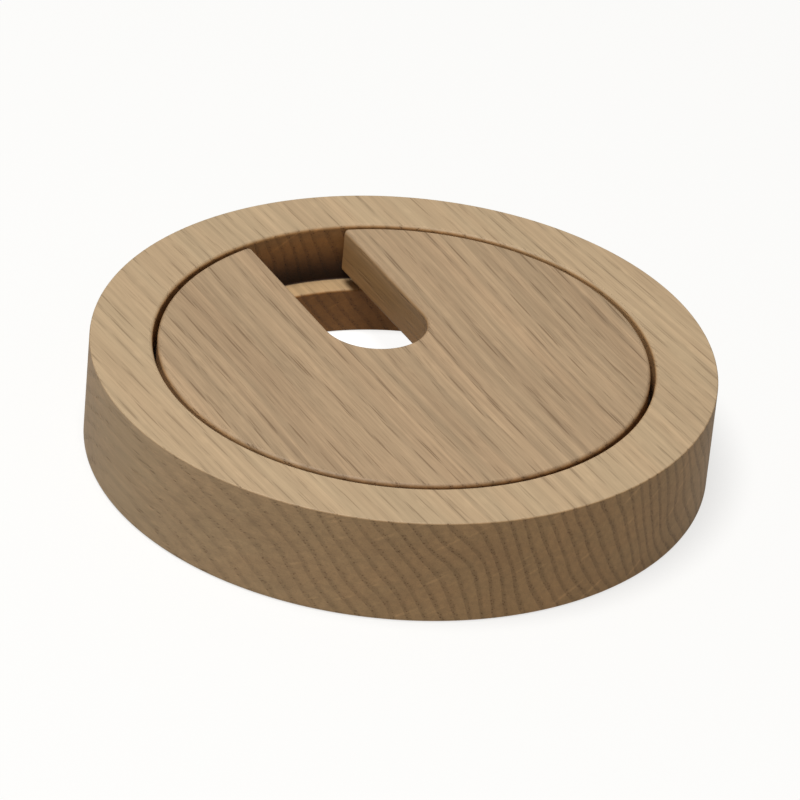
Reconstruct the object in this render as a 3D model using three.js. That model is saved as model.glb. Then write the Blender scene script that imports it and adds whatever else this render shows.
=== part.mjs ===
// Flush wooden desk grommet. A solid oak lid with a U-shaped cable notch lies in a rebated oak seat ring,
// level with the desktop around it. Four felt pads under the lid's rim stand on the ledge of the rebate:
// they set the lid flush and keep it quiet. The lid lifts straight out, and turns to bring the notch
// to where the cables are.
//
// Millimetres, +Z up. The origin is the centre of the ring's underside, and the notch opens towards +Y.
import * as THREE from "three";

// Driving dimensions.
const DESKTOP_THICKNESS = 18; // the board that the ring is let into, flush on both faces
const RING_DIAMETER = 100; // the round cut-out that the ring fills
const REBATE_DIAMETER = 80;
const REBATE_DEPTH = 10;
const LEDGE_WIDTH = 3.75; // what the rebate leaves for the pads to stand on
const LID_THICKNESS = 7.5;
const LID_GAP = 0.75; // between lid and rebate wall, all round
const NOTCH_WIDTH = 17;
const NOTCH_TO_CENTRE = 2; // wood left between the notch's round end and the lid's centre
const PAD_DIAMETER = 6;
const PAD_COUNT = 4;

// Broken edges, each a 45 degree chamfer of this leg.
const TOUCH_EASE = 0.4; // edges that hands and cables meet
const SHOW_EASE = 0.2; // the ring's top outer edge, nearly sharp so that its joint with the desktop is fine
const LEAD_IN = 0.6; // the ring's bottom outer edge, which enters the cut-out first
const PAD_EASE = 0.3;

// Worked out from the dimensions above.
const RING_R = RING_DIAMETER / 2;
const REBATE_R = REBATE_DIAMETER / 2;
const THROUGH_R = REBATE_R - LEDGE_WIDTH;
const LID_R = REBATE_R - LID_GAP;
const LEDGE_Z = DESKTOP_THICKNESS - REBATE_DEPTH;
const LID_BOTTOM_Z = DESKTOP_THICKNESS - LID_THICKNESS;
const NOTCH_R = NOTCH_WIDTH / 2;
const NOTCH_END_Y = NOTCH_TO_CENTRE + NOTCH_R; // centre of the notch's round end
const PAD_R = PAD_DIAMETER / 2;
const PAD_CIRCLE_R = LID_R - TOUCH_EASE - PAD_R; // the pads keep inside the lid's lower chamfer
const FIRST_PAD_ANGLE = Math.PI / PAD_COUNT; // the pads lie between the axes, clear of the notch

// Facets.
const RING_SEGMENTS = 128;
const LID_SEGMENTS = 48;
const PAD_SEGMENTS = 24;

// Oiled oak, and wool felt.
const oak = (name, color) => new THREE.MeshStandardMaterial({ name, color, roughness: 0.55, metalness: 0 });
const RING_OAK = oak("ring_oak", 0xb89d7e);
const LID_OAK = oak("lid_oak", 0xb29979);
const FELT = new THREE.MeshStandardMaterial({ name: "pad_felt", color: 0x5a4a3c, roughness: 0.95, metalness: 0 });

// A solid turned about Z from its (radius, height) profile.
function turned(profile, segments) {
  const points = profile.map(([radius, height]) => new THREE.Vector2(radius, height));
  const geometry = new THREE.LatheGeometry(points, segments);
  return geometry.rotateX(Math.PI / 2);
}

function named(name, geometry, material) {
  const mesh = new THREE.Mesh(geometry, material);
  mesh.name = name;
  return mesh;
}

// The seat: an oak collar with a through hole, and a rebate that leaves a narrow ledge around it.
function seatRing() {
  const underside = 0;
  const top = DESKTOP_THICKNESS;
  const profile = [
    [THROUGH_R + TOUCH_EASE, underside],
    [RING_R - LEAD_IN, underside],
    [RING_R, underside + LEAD_IN],
    [RING_R, top - SHOW_EASE],
    [RING_R - SHOW_EASE, top],
    [REBATE_R + TOUCH_EASE, top],
    [REBATE_R, top - TOUCH_EASE],
    [REBATE_R, LEDGE_Z],
    [THROUGH_R + TOUCH_EASE, LEDGE_Z],
    [THROUGH_R, LEDGE_Z - TOUCH_EASE],
    [THROUGH_R, underside + TOUCH_EASE],
    [THROUGH_R + TOUCH_EASE, underside],
  ];
  return named("seat_ring", turned(profile, RING_SEGMENTS), RING_OAK);
}

// The lid's outline: a disc with a straight-sided, round-ended notch cut in from its edge.
function lidOutline() {
  const corner = Math.acos(NOTCH_R / LID_R); // angle of the notch's right-hand corner on the rim
  const outline = new THREE.Shape();
  outline.absarc(0, 0, LID_R, corner, Math.PI - corner, true);
  outline.lineTo(-NOTCH_R, NOTCH_END_Y);
  outline.absarc(0, NOTCH_END_Y, NOTCH_R, Math.PI, 2 * Math.PI, false);
  outline.closePath();
  return outline;
}

function lid() {
  const geometry = new THREE.ExtrudeGeometry(lidOutline(), {
    depth: LID_THICKNESS - 2 * TOUCH_EASE,
    curveSegments: LID_SEGMENTS,
    bevelEnabled: true,
    bevelSegments: 1,
    bevelThickness: TOUCH_EASE,
    bevelSize: TOUCH_EASE,
    bevelOffset: -TOUCH_EASE,
  });
  const mesh = named("lid", geometry, LID_OAK);
  mesh.position.z = LID_BOTTOM_Z + TOUCH_EASE;
  return mesh;
}

// One felt dot, stuck to the lid's underside and standing on the ledge with its outer half.
function feltPad(index) {
  const height = REBATE_DEPTH - LID_THICKNESS;
  const profile = [
    [0, 0],
    [PAD_R - PAD_EASE, 0],
    [PAD_R, PAD_EASE],
    [PAD_R, height],
    [0, height],
  ];
  const mesh = named(`felt_pad_${index + 1}`, turned(profile, PAD_SEGMENTS), FELT);
  const angle = FIRST_PAD_ANGLE + (index * 2 * Math.PI) / PAD_COUNT;
  mesh.position.set(PAD_CIRCLE_R * Math.cos(angle), PAD_CIRCLE_R * Math.sin(angle), LEDGE_Z);
  return mesh;
}

const grommet = new THREE.Group();
grommet.add(seatRing(), lid());
for (let index = 0; index < PAD_COUNT; index += 1) {
  grommet.add(feltPad(index));
}

export default grommet;
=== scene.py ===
"""A flush oak desk grommet: a notched lid lying in a rebated seat ring, on four hidden felt pads.

Everything is in metres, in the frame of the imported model: +Z up, the origin in the middle of the ring's
underside, and the lid's notch opening towards +Y. Oak and felt are solid textures, so the grain runs
through each piece.
"""
import math

import bmesh
import bpy
from mathutils import Matrix, Vector, noise


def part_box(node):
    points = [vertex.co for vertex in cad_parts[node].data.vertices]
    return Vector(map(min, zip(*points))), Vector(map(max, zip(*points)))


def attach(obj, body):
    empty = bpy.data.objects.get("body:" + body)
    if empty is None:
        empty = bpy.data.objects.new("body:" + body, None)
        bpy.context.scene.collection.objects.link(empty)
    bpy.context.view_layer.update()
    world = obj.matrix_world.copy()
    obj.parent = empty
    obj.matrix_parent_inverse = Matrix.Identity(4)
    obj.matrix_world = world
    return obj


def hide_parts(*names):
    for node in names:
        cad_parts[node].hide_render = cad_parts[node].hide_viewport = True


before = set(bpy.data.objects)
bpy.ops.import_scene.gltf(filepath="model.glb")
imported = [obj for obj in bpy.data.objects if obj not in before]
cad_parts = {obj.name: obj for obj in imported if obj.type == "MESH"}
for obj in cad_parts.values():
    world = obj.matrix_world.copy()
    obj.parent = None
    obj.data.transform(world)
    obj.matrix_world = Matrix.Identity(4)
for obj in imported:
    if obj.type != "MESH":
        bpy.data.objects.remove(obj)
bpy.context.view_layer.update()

MM = 0.001

# ---------------------------------------------------------------- sizes, from the frame where it has them

ring_low, ring_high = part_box("seat_ring")
lid_low, lid_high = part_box("lid")
pad_low, pad_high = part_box("felt_pad_1")

RING_R = ring_high.x
TOP_Z = ring_high.z
LEDGE_Z = pad_low.z
LID_R = lid_high.x
LID_BOTTOM_Z = lid_low.z
LID_TOP_Z = lid_high.z
PAD_R = (pad_high.x - pad_low.x) / 2
PAD_COUNT = 4

LID_GAP = 0.75 * MM
LEDGE_WIDTH = 3.75 * MM
REBATE_R = LID_R + LID_GAP
THROUGH_R = REBATE_R - LEDGE_WIDTH

NOTCH_R = 8.5 * MM
NOTCH_END_Y = 10.5 * MM  # centre of the notch's round end

# Radii that sandpaper and cutters leave.
TOUCH_ROUND = 0.45 * MM  # edges that hands and cables meet
RIM_ROUND = 0.6 * MM  # the rebate's top edge
LID_ROUND = 0.7 * MM  # the lid's top edge, which is handled most
SHOW_ROUND = 0.25 * MM  # the ring's top outer edge
LEAD_ROUND = 0.6 * MM  # the ring's bottom outer edge
CUTTER_ROUND = 0.3 * MM  # the inner corner at the foot of the rebate wall
MOUTH_ROUND = 0.8 * MM  # the notch's two upright corners on the rim

ROUND_STEPS = 5
TURN_STEPS = 256

# Direction of the grain, anticlockwise from +Y seen from above: the lid lies a little turned in the desk.
LID_GRAIN = 0.0
RING_GRAIN = math.radians(2.9)

# ---------------------------------------------------------------- camera and lights

VIEW_AZIMUTH = math.radians(-30.4)
VIEW_ELEVATION = math.radians(31.4)
VIEW_ROLL = math.radians(5.5)  # the grommet's upright leans this far to the right in the picture
VIEW_DISTANCE = 0.906
VIEW_WIDTH = 0.1275  # what the frame spans at the grommet
SENSOR = 36.0

SOFTBOX_PLACE = (-0.26, -0.03, 1.25)
SOFTBOX_SIZE = 0.6
SOFTBOX_POWER = 14.5
WARM_WHITE = (1.0, 0.995, 0.985)

ROOM_COLOUR = (1.0, 1.0, 0.985, 1)
ROOM_LIGHT = 0.16  # strength of the room where it lights the object
ROOM_SHOWN = 0.62  # and what is added to it where the camera sees it

FLOOR_HALF = 3.0
FLOOR_COLOUR = (0.24, 0.24, 0.235, 1)
FLOOR_LIGHT = 0.28  # the floor's glow where it lights the object
FLOOR_SHOWN = 0.45  # what is added where the camera sees it
HOLE_SHOWN = 0.66  # and what is added under the through hole
HOLE_FADE = 1.5 * MM


def make_camera():
    data = bpy.data.cameras.new("camera")
    data.sensor_width = SENSOR
    data.lens = SENSOR * VIEW_DISTANCE / VIEW_WIDTH
    data.clip_start = 0.01
    data.clip_end = 10
    camera = bpy.data.objects.new("camera", data)
    bpy.context.scene.collection.objects.link(camera)
    back = Vector((
        math.sin(VIEW_AZIMUTH) * math.cos(VIEW_ELEVATION),
        -math.cos(VIEW_AZIMUTH) * math.cos(VIEW_ELEVATION),
        math.sin(VIEW_ELEVATION),
    ))
    target = Vector((0, 0, TOP_Z / 2))
    camera.location = target + back * VIEW_DISTANCE
    level = back.to_track_quat("Z", "Y").to_matrix()
    camera.rotation_euler = (level @ Matrix.Rotation(VIEW_ROLL, 3, "Z")).to_euler()
    bpy.context.scene.camera = camera


def make_softbox():
    data = bpy.data.lights.new("softbox", "AREA")
    data.shape = "DISK"
    data.size = SOFTBOX_SIZE
    data.energy = SOFTBOX_POWER
    data.color = WARM_WHITE
    light = bpy.data.objects.new("softbox", data)
    bpy.context.scene.collection.objects.link(light)
    light.location = SOFTBOX_PLACE
    light.rotation_euler = (-Vector(SOFTBOX_PLACE)).to_track_quat("-Z", "Y").to_euler()


def make_room():
    """A room that is dim where it lights the object, and where the camera sees it as pale as the floor."""
    world = bpy.data.worlds.new("studio")
    world.use_nodes = True
    tree = world.node_tree
    background = tree.nodes["Background"]
    background.inputs["Color"].default_value = ROOM_COLOUR
    seen = tree.nodes.new("ShaderNodeLightPath").outputs["Is Camera Ray"]
    strength = tree.nodes.new("ShaderNodeMath")
    strength.operation = "MULTIPLY_ADD"
    strength.inputs[1].default_value = ROOM_SHOWN
    strength.inputs[2].default_value = ROOM_LIGHT
    tree.links.new(seen, strength.inputs[0])
    tree.links.new(strength.outputs[0], background.inputs["Strength"])
    bpy.context.scene.world = world
    bpy.context.scene.view_settings.view_transform = "Standard"


# ---------------------------------------------------------------- node helpers


class Graph:
    """Short-hand for building one material's nodes. A socket or a plain value can go into any input."""

    def __init__(self, name):
        self.material = bpy.data.materials.new(name)
        self.material.use_nodes = True
        self.tree = self.material.node_tree
        self.shader = self.tree.nodes["Principled BSDF"]

    def node(self, kind, inputs, **settings):
        made = self.tree.nodes.new("ShaderNode" + kind)
        for key, value in settings.items():
            setattr(made, key, value)
        for key, value in inputs.items():
            self.put(made.inputs[key], value)
        return made

    def put(self, socket, value):
        if isinstance(value, bpy.types.NodeSocket):
            self.tree.links.new(value, socket)
        else:
            socket.default_value = value

    def put_all(self, **sockets):
        """Values for the shader's own sockets, with _ for each space in a socket's name."""
        for name, value in sockets.items():
            self.put(self.shader.inputs[name.replace("_", " ")], value)

    def place(self):
        return self.node("TexCoord", {}).outputs["Object"]

    def math(self, operation, a, b=0.0, c=0.0):
        return self.node("Math", {0: a, 1: b, 2: c}, operation=operation).outputs[0]

    def vector(self, operation, a, b=(0, 0, 0)):
        return self.node("VectorMath", {0: a, 1: b}, operation=operation).outputs[0]

    def length(self, vector):
        return self.node("VectorMath", {0: vector}, operation="LENGTH").outputs["Value"]

    def span(self, value, low, high, to_low=0.0, to_high=1.0):
        """value carried smoothly from low..high to to_low..to_high."""
        inputs = {"Value": value, 1: low, 2: high, 3: to_low, 4: to_high}
        return self.node("MapRange", inputs, interpolation_type="SMOOTHSTEP").outputs[0]

    def fibrous(self, place, across, along):
        """place scaled differently across and along Y, the way the fibres run."""
        return self.vector("MULTIPLY", place, (across, along, across))

    def noise(self, place, scale=1.0, detail=2.0, roughness=0.5, output=0):
        inputs = {"Vector": place, "Scale": scale, "Detail": detail, "Roughness": roughness}
        return self.node("TexNoise", inputs).outputs[output]

    def from_cell(self, place):
        """Distance from the nearest of many scattered points, one for each unit of place."""
        inputs = {"Vector": place, "Scale": 1.0, "Randomness": 1.0}
        return self.node("TexVoronoi", inputs).outputs["Distance"]

    def around_one(self, value, depth):
        """1 where value is a half, and up to half of depth more or less where it is 1 or 0."""
        return self.math("MULTIPLY_ADD", self.math("SUBTRACT", value, 0.5), depth, 1.0)

    def blend(self, share, a, b, how="MIX"):
        """Colour a, taken towards b as far as share says."""
        inputs = {0: share, 6: a, 7: b}
        return self.node("Mix", inputs, data_type="RGBA", blend_type=how).outputs[2]

    def tint(self, colour, share, by):
        """A colour multiplied by another, as far as share says."""
        return self.blend(share, colour, by, "MULTIPLY")


# ---------------------------------------------------------------- floor


def make_floor():
    """A pale floor that glows a little, as a light table does, but lights the object less than it shows.
    Under the through hole it shows brighter, so that the view through is as white as the open floor."""
    mesh = bpy.data.meshes.new("floor")
    corners = [(x * FLOOR_HALF, y * FLOOR_HALF, 0) for x, y in ((-1, -1), (1, -1), (1, 1), (-1, 1))]
    mesh.from_pydata(corners, [], [(0, 1, 2, 3)])
    floor = bpy.data.objects.new("floor", mesh)
    bpy.context.scene.collection.objects.link(floor)
    g = Graph("pale_floor")
    seen = g.node("LightPath", {}).outputs["Is Camera Ray"]
    outside, inside = THROUGH_R + HOLE_FADE, THROUGH_R - HOLE_FADE
    shown = g.span(g.length(g.place()), outside, inside, FLOOR_SHOWN, HOLE_SHOWN)
    g.put_all(
        Base_Color=FLOOR_COLOUR,
        Roughness=0.8,
        Emission_Color=WARM_WHITE + (1,),
        Emission_Strength=g.math("MULTIPLY_ADD", seen, shown, FLOOR_LIGHT),
    )
    mesh.materials.append(g.material)


# ---------------------------------------------------------------- oak

# The log, in millimetres, with its fibres along Y.
PITH = (-150.0, 0.0, -85.0)  # low and to the side, as in a rift-sawn board
YEAR = 2.1  # what the tree grew in a year
UNEVEN_YEARS = 3.4  # by how many years' growth, at most, the rings are out of even steps
SWAY = 6.0  # width of the band that a fibre wanders in
RAY_SPACING = (16.0, 6.0, 1.3)  # out from the pith, along the fibres, and across both

# How much each feature lightens or darkens the wood, and how much more it does so on end grain.
BROAD_DEPTH = 0.30
SILK_DEPTH = 0.40
LINES_DEPTH = 0.68
RING_DEPTH, RING_END_DEPTH = 0.10, 0.14
RAY_DEPTH, RAY_END_DEPTH = 0.06, 0.16
PORE_DEPTH, PORE_END_DEPTH = 0.47, 0.25
LATE_WOOD = 1.04

# What the flat faces' colour is multiplied by elsewhere.
OUTER_SIDE = (1.0, 0.94, 0.86, 1)
OUTER_END = (0.90, 0.78, 0.63, 1)
# Painted warm shade: inside the ring, below the top, the colour goes warmer and a little darker.
SUNK_SHADE_TINT = (1.0, 0.93, 0.81, 1)
# Painted shade: the walls inside the ring darken from near the top down to the ledge.
DEPTH_SHADE_TINT = (0.74, 0.70, 0.64, 1)
# Painted shade: the rebate wall darkens towards the ledge, to near black at its foot.
FOOT_SHADE_TINT = (0.06, 0.035, 0.01, 1)

PORE_COLOUR = (0.155, 0.080, 0.032, 1)
WARMER = (1.015, 0.99, 0.965)
COOLER = (0.995, 0.995, 0.98)

# Where those tints begin and where they are full.
INSIDE_R = (RING_R - 4 * MM, RING_R - 6 * MM)
SUNK_SHADE_Z = (TOP_Z - 1 * MM, TOP_Z - 3 * MM)
DEPTH_SHADE_Z = (TOP_Z - 1 * MM, LEDGE_Z)
FOOT_SHADE_Z = (LEDGE_Z + 8 * MM, LEDGE_Z + 0.8 * MM)
CORNER_R = (REBATE_R - 0.4 * MM, REBATE_R - 0.1 * MM)


def vessels(g, fibre, across, along, thick, seed):
    """Long thin tubes, in millimetres. Cut along, they are dark dashes, and cut across, dots."""
    placed = g.vector("ADD", g.fibrous(fibre, 1 / across, 1 / along), (seed, seed, seed))
    return g.span(g.from_cell(placed), thick, thick * 0.5)


def oak(name, grain, shift, tone, figure, cut_side_and_shade, cut_end_and_shade):
    """Oiled oak as a solid texture. grain turns its fibres about Z, shift picks the place in the log in
    millimetres, tone is its mean colour, and figure is how strongly pores and rings show.
    cut_side_and_shade and cut_end_and_shade are what the cutter's walls are multiplied by along the
    grain, and then also across it: partly the cutter's finish and partly painted shade of the hole."""
    g = Graph(name)
    place = g.place()
    mapping = {"Vector": place, "Scale": (1 / MM, 1 / MM, 1 / MM), "Rotation": (0, 0, -grain)}
    log = g.vector("ADD", g.node("Mapping", mapping).outputs[0], shift)

    # The fibres wander slowly sideways.
    drift = g.noise(g.fibrous(log, 0.020, 0.0065), detail=1.5, output="Color")
    centred = g.vector("SUBTRACT", drift, (0.5, 0.5, 0.5))
    fibre = g.vector("ADD", log, g.vector("MULTIPLY", centred, (SWAY, 0.0, SWAY)))

    # Growth rings, counted out from the pith.
    reach = g.length(g.vector("MULTIPLY", g.vector("SUBTRACT", fibre, PITH), (1, 0, 1)))
    uneven = g.noise(g.fibrous(fibre, 0.05, 0.004), detail=1.5)
    years = g.math("MULTIPLY_ADD", reach, 1 / YEAR, g.math("MULTIPLY", uneven, UNEVEN_YEARS))
    season = g.math("FRACT", years)
    early = g.math("MULTIPLY", g.span(season, 0.0, 0.08), g.span(season, 0.50, 0.22))

    # Vessels: the coarse ones are nearly all in the early wood, and the fine ones in both.
    coarse = vessels(g, fibre, across=0.44, along=15.0, thick=0.36, seed=0.0)
    fine = vessels(g, fibre, across=0.30, along=9.0, thick=0.30, seed=7.3)
    pores = g.math(
        "MAXIMUM",
        g.math("MULTIPLY", coarse, g.math("MULTIPLY_ADD", early, 0.92, 0.08)),
        g.math("MULTIPLY", fine, g.math("MULTIPLY_ADD", early, 0.35, 0.30)),
    )

    # Rays: thin sheets running out from the pith.
    lean = math.atan2(-PITH[2], -PITH[0])
    turned = g.node("Mapping", {"Vector": fibre, "Rotation": (0, lean, 0)}).outputs[0]
    sheets = g.vector("MULTIPLY", turned, tuple(1 / spacing for spacing in RAY_SPACING))
    rays = g.span(g.from_cell(sheets), 0.26, 0.10)

    # Fine fibres, long lines, and broad bands of tone.
    silk = g.noise(g.fibrous(fibre, 4.0, 0.10), detail=3.0, roughness=0.65)
    lines = g.noise(g.fibrous(fibre, 0.95, 0.024), detail=3.0, roughness=0.6)
    broad = g.noise(g.fibrous(fibre, 0.085, 0.005))
    hue = g.noise(g.fibrous(fibre, 0.21, 0.012), detail=1.0)

    # Which way the surface faces, and whether it lies inside the ring's outer wall.
    normal = g.node("TexCoord", {}).outputs["Normal"]

    def facing(axis):
        along = g.node("VectorMath", {0: normal, 1: axis}, operation="DOT_PRODUCT").outputs["Value"]
        return g.math("ABSOLUTE", along)

    wall = g.span(facing((0, 0, 1)), 0.85, 0.35)
    end = g.math("POWER", facing((-math.sin(grain), math.cos(grain), 0.0)), 1.6)
    from_axis = g.length(g.vector("MULTIPLY", place, (1, 1, 0)))
    inside = g.span(from_axis, *INSIDE_R)
    height_up = g.node("SeparateXYZ", {0: place}).outputs["Z"]

    # The flat faces' colour: tone, streaks, rings, rays and pores.
    warm = tuple(c * k for c, k in zip(tone, WARMER)) + (1.0,)
    cool = tuple(c * k for c, k in zip(tone, COOLER)) + (1.0,)
    colour = g.blend(g.span(hue, 0.32, 0.68), cool, warm)
    shade = g.around_one(broad, BROAD_DEPTH)
    shade = g.math("MULTIPLY", shade, g.around_one(silk, SILK_DEPTH * figure))
    shade = g.math("MULTIPLY", shade, g.around_one(lines, LINES_DEPTH * figure))
    ring_dark = g.math("MULTIPLY_ADD", end, -RING_END_DEPTH, -RING_DEPTH * figure)
    shade = g.math("MULTIPLY", shade, g.math("MULTIPLY_ADD", early, ring_dark, LATE_WOOD))
    ray_light = g.math("MULTIPLY_ADD", end, RAY_END_DEPTH, RAY_DEPTH)
    shade = g.math("MULTIPLY", shade, g.math("MULTIPLY_ADD", rays, ray_light, 1.0))
    colour = g.tint(colour, 1.0, g.node("CombineColor", {0: shade, 1: shade, 2: shade}).outputs[0])
    pore_depth = g.math("MULTIPLY_ADD", end, PORE_END_DEPTH, PORE_DEPTH * figure)
    colour = g.blend(g.math("MULTIPLY", pores, pore_depth), colour, PORE_COLOUR)

    # Walls drink more oil than the flat faces and go darker, end grain most of all. The outer wall is
    # sanded and stays lighter than inside, where the walls' darker tint is partly what the cutter left
    # and partly painted shade of the hole. The darkening at the foot of the rebate is painted shade.
    # Inside the ring the walls' tint is partly what the cutter left and partly painted shade of the hole.
    colour = g.tint(colour, wall, g.blend(inside, OUTER_SIDE, cut_side_and_shade))
    colour = g.tint(colour, end, g.blend(inside, OUTER_END, cut_end_and_shade))
    # Painted warm shade: inside the ring, below the top, the colour goes warmer and a little darker.
    sunk_shade = g.math("MULTIPLY", g.span(height_up, *SUNK_SHADE_Z), inside)
    colour = g.tint(colour, sunk_shade, SUNK_SHADE_TINT)
    # Painted shade: the walls inside the ring darken towards the ledge.
    depth_shade = g.math("MULTIPLY", g.span(height_up, *DEPTH_SHADE_Z), g.math("MULTIPLY", inside, wall))
    colour = g.tint(colour, depth_shade, DEPTH_SHADE_TINT)
    # Painted shade: the rebate wall darkens towards the ledge, to near black at its foot.
    in_corner = g.math("MULTIPLY", g.span(from_axis, *CORNER_R), inside)
    foot_shade = g.math("MULTIPLY", g.span(height_up, *FOOT_SHADE_Z), in_corner)
    colour = g.tint(colour, foot_shade, FOOT_SHADE_TINT)

    # Pores and end grain are duller, and cutters and sanding leave fine lines around the walls.
    rough = g.math("MULTIPLY_ADD", silk, 0.16, 0.46)
    rough = g.math("ADD", rough, g.math("MULTIPLY", g.math("MAXIMUM", pores, end), 0.14))
    tooling = g.noise(g.vector("MULTIPLY", log, (0.02, 0.02, 3.2)), roughness=0.6)
    height = g.math("MULTIPLY_ADD", pores, -1.0, g.math("MULTIPLY", silk, 0.35))
    height = g.math("ADD", height, g.math("MULTIPLY", g.math("MULTIPLY", tooling, wall), 0.55))
    bump = {"Height": height, "Distance": 0.07 * MM, "Strength": 0.8}
    g.put_all(
        Base_Color=colour,
        Roughness=rough,
        Specular_IOR_Level=0.42,
        Normal=g.node("Bump", bump).outputs[0],
    )
    return g.material


# ---------------------------------------------------------------- felt

FELT_DARK = (0.050, 0.033, 0.022, 1)
FELT_MID = (0.140, 0.105, 0.078, 1)
FELT_LIGHT = (0.24, 0.20, 0.16, 1)


def felt(name):
    """Pressed wool felt: matted fibres of two browns, with paler flecks."""
    g = Graph(name)
    place = g.vector("MULTIPLY", g.place(), (1 / MM, 1 / MM, 1 / MM))
    tangle = g.noise(place, scale=3.2, detail=6.0, roughness=0.75)
    churn = g.noise(place, scale=0.9, output="Color")
    swirl = g.vector("ADD", place, g.vector("MULTIPLY", churn, (2.5, 2.5, 2.5)))
    strands = g.noise(g.fibrous(swirl, 6.0, 0.9), detail=3.0, roughness=0.6)
    colour = g.blend(g.span(strands, 0.36, 0.62), FELT_DARK, FELT_MID)
    height = g.math("ADD", tangle, g.math("MULTIPLY", strands, 0.8))
    g.put_all(
        Base_Color=g.blend(g.span(tangle, 0.60, 0.72), colour, FELT_LIGHT),
        Roughness=0.95,
        Sheen_Weight=0.2,
        Sheen_Roughness=0.6,
        Sheen_Tint=(0.80, 0.66, 0.52, 1),
        Specular_IOR_Level=0.15,
        Normal=g.node("Bump", {"Height": height, "Distance": 0.12 * MM}).outputs[0],
    )
    return g.material


# ---------------------------------------------------------------- pieces


def add_piece(name, mesh_data, material, body, slot, *nodes):
    """Puts a finished bmesh into the scene as a piece that rides on a body and stands for CAD nodes."""
    mesh = bpy.data.meshes.new(name)
    bmesh.ops.recalc_face_normals(mesh_data, faces=mesh_data.faces)
    mesh_data.to_mesh(mesh)
    mesh_data.free()
    mesh.shade_smooth()
    mesh.materials.append(material)
    piece = bpy.data.objects.new(name, mesh)
    bpy.context.scene.collection.objects.link(piece)
    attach(piece, body)
    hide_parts(*nodes)
    return piece


def keep_flats_flat(piece):
    """Shades by the large faces, so that the rounded edges don't bend the look of the flats."""
    modifier = piece.modifiers.new("flats", "WEIGHTED_NORMAL")
    modifier.weight = 80


def rounded(corners):
    """A closed outline of (radius, height, rounding) corners, each turned into a short arc."""
    outline = []
    for index, (x, y, radius) in enumerate(corners):
        corner = Vector((x, y))
        before = (Vector(corners[index - 1][:2]) - corner).normalized()
        after = (Vector(corners[(index + 1) % len(corners)][:2]) - corner).normalized()
        half = before.angle(after) / 2
        centre = corner + (before + after).normalized() * (radius / math.sin(half))
        start = corner + before * (radius / math.tan(half)) - centre
        end = corner + after * (radius / math.tan(half)) - centre
        sweep = start.angle_signed(end)
        for step in range(ROUND_STEPS + 1):
            turn = Matrix.Rotation(-sweep * step / ROUND_STEPS, 2)
            outline.append(centre + turn @ start)
    return outline


def loft(mesh_data, rings, closed):
    """Faces between one ring of vertices and the next, and from the last to the first if closed, or else a
    flat face over each end."""
    pairs = list(zip(rings, rings[1:]))
    if closed:
        pairs.append((rings[-1], rings[0]))
    for low, high in pairs:
        count = len(low)
        for index in range(count):
            following = (index + 1) % count
            mesh_data.faces.new((low[index], low[following], high[following], high[index]))
    if not closed:
        mesh_data.faces.new(rings[0])
        mesh_data.faces.new(rings[-1])


def make_ring(material):
    profile = rounded([
        (THROUGH_R, 0.0, TOUCH_ROUND),
        (RING_R, 0.0, LEAD_ROUND),
        (RING_R, TOP_Z, SHOW_ROUND),
        (REBATE_R, TOP_Z, RIM_ROUND),
        (REBATE_R, LEDGE_Z, CUTTER_ROUND),
        (THROUGH_R, LEDGE_Z, TOUCH_ROUND),
    ])
    mesh_data = bmesh.new()
    turns = []
    for step in range(TURN_STEPS):
        angle = 2 * math.pi * step / TURN_STEPS
        turns.append([
            mesh_data.verts.new((r * math.cos(angle), r * math.sin(angle), z)) for r, z in profile
        ])
    loft(mesh_data, turns, closed=True)
    ring = add_piece("seat_ring_oak", mesh_data, material, "seat", "ring_oak", "seat_ring")
    keep_flats_flat(ring)


def arc(centre, radius, start, end, steps):
    """Points on an arc, from angle start to angle end."""
    angles = [start + (end - start) * step / steps for step in range(steps + 1)]
    return [(centre[0] + radius * math.cos(a), centre[1] + radius * math.sin(a)) for a in angles]


def lid_outline(inset):
    """The lid's outline, anticlockwise, drawn in by inset. Every arc keeps its centre."""
    mouth_x = NOTCH_R + MOUTH_ROUND
    mouth_y = math.sqrt((LID_R - MOUTH_ROUND) ** 2 - mouth_x ** 2)
    rim = math.atan2(mouth_y, mouth_x)
    corner = MOUTH_ROUND - inset
    points = arc((0, 0), LID_R - inset, math.pi - rim, 2 * math.pi + rim, TURN_STEPS)
    points += arc((mouth_x, mouth_y), corner, rim, math.pi, ROUND_STEPS * 2)[1:]
    points += arc((0, NOTCH_END_Y), NOTCH_R + inset, 0, -math.pi, TURN_STEPS // 4)
    points += arc((-mouth_x, mouth_y), corner, 0, math.pi - rim, ROUND_STEPS * 2)[:-1]
    return points


def make_lid(material):
    turns = [math.pi / 2 * step / ROUND_STEPS for step in range(ROUND_STEPS + 1)]
    below = [(TOUCH_ROUND * (1 - math.sin(a)), TOUCH_ROUND * (1 - math.cos(a))) for a in turns]
    above = [(LID_ROUND * (1 - math.sin(a)), LID_ROUND * (1 - math.cos(a))) for a in reversed(turns)]
    levels = [(inset, LID_BOTTOM_Z + rise) for inset, rise in below]
    levels += [(inset, LID_TOP_Z - drop) for inset, drop in above]
    mesh_data = bmesh.new()
    rings = [[mesh_data.verts.new((x, y, z)) for x, y in lid_outline(inset)] for inset, z in levels]
    loft(mesh_data, rings, closed=False)
    lid = add_piece("lid_oak", mesh_data, material, "lid", "lid_oak", "lid")
    keep_flats_flat(lid)


PAD_FLAT = 0.86  # the pads' flat faces, as a share of their radius
PAD_BARREL = 0.12  # and how much wider they are halfway up
PAD_AROUND = 72
PAD_ACROSS = 10
PAD_UP = 12
LUMP_SIZE = 0.09 * MM
LUMPS_PER_MM = 2.2
HAIR_SIZE = 0.05 * MM
HAIRS_PER_MM = 5.5


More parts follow.
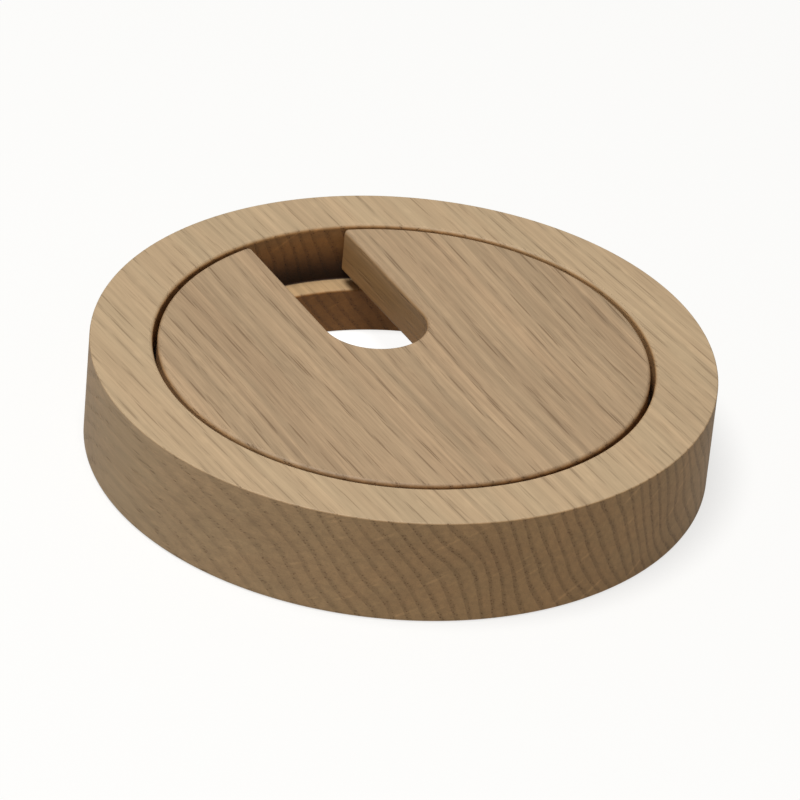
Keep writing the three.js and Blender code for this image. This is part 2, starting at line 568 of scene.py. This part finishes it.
def pad_profile(height):
    """(radius, height) from the middle of a pad's underside, out round its barrelled edge, and back in."""
    steps_in = [PAD_R * PAD_FLAT * step / PAD_ACROSS for step in range(1, PAD_ACROSS)]
    profile = [(r, 0.0) for r in steps_in]
    for step in range(PAD_UP + 1):
        angle = math.pi * (step / PAD_UP - 0.5)
        bulge = PAD_FLAT + PAD_BARREL * abs(math.cos(angle)) ** 0.5
        profile.append((PAD_R * bulge, height * (0.5 + 0.5 * math.sin(angle))))
    profile += [(r, height) for r in reversed(steps_in)]
    return profile


def make_pad(index, material):
    """A felt dot: rounded, a little barrelled, and matted, most of all halfway up."""
    name = f"felt_pad_{index}"
    low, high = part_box(name)
    middle = (low + high) / 2
    height = high.z - low.z
    around = [2 * math.pi * step / PAD_AROUND for step in range(PAD_AROUND)]
    mesh_data = bmesh.new()
    rings = [
        [mesh_data.verts.new((r * math.cos(a), r * math.sin(a), z)) for a in around]
        for r, z in pad_profile(height)
    ]
    loft(mesh_data, rings, closed=False)
    own_place = Vector((index * 9.1, 0, 0))  # so that no two pads are matted alike
    for vertex in mesh_data.verts:
        lumps = noise.noise(vertex.co / MM * LUMPS_PER_MM + own_place) * LUMP_SIZE
        hairs = noise.noise(vertex.co / MM * HAIRS_PER_MM + own_place) * HAIR_SIZE
        from_flat = min(vertex.co.z, height - vertex.co.z) / height
        outward = Vector((vertex.co.x, vertex.co.y, 0)).normalized()
        vertex.co += outward * (lumps + hairs) * (0.3 + 1.4 * from_flat)
        vertex.co += Vector((middle.x, middle.y, low.z))
    pad = add_piece(f"{name}_felt", mesh_data, material, "pads", "pad_felt", name)


# ---------------------------------------------------------------- build

make_camera()
make_softbox()
make_room()
make_floor()

ring_oak = oak(
    "ring_oak", RING_GRAIN, shift=(40.0, 12.0, 5.0), tone=(0.500, 0.364, 0.222), figure=0.75,
    cut_side_and_shade=(0.92, 0.77, 0.59, 1), cut_end_and_shade=(0.84, 0.68, 0.48, 1),
)
lid_oak = oak(
    "lid_oak", LID_GRAIN, shift=(-14.0, 260.0, 31.0), tone=(0.428, 0.299, 0.180), figure=1.15,
    cut_side_and_shade=(1.0, 0.88, 0.70, 1), cut_end_and_shade=(0.62, 0.47, 0.30, 1),
)
pad_felt = felt("pad_felt")
make_ring(ring_oak)
make_lid(lid_oak)
for number in range(1, PAD_COUNT + 1):
    make_pad(number, pad_felt)
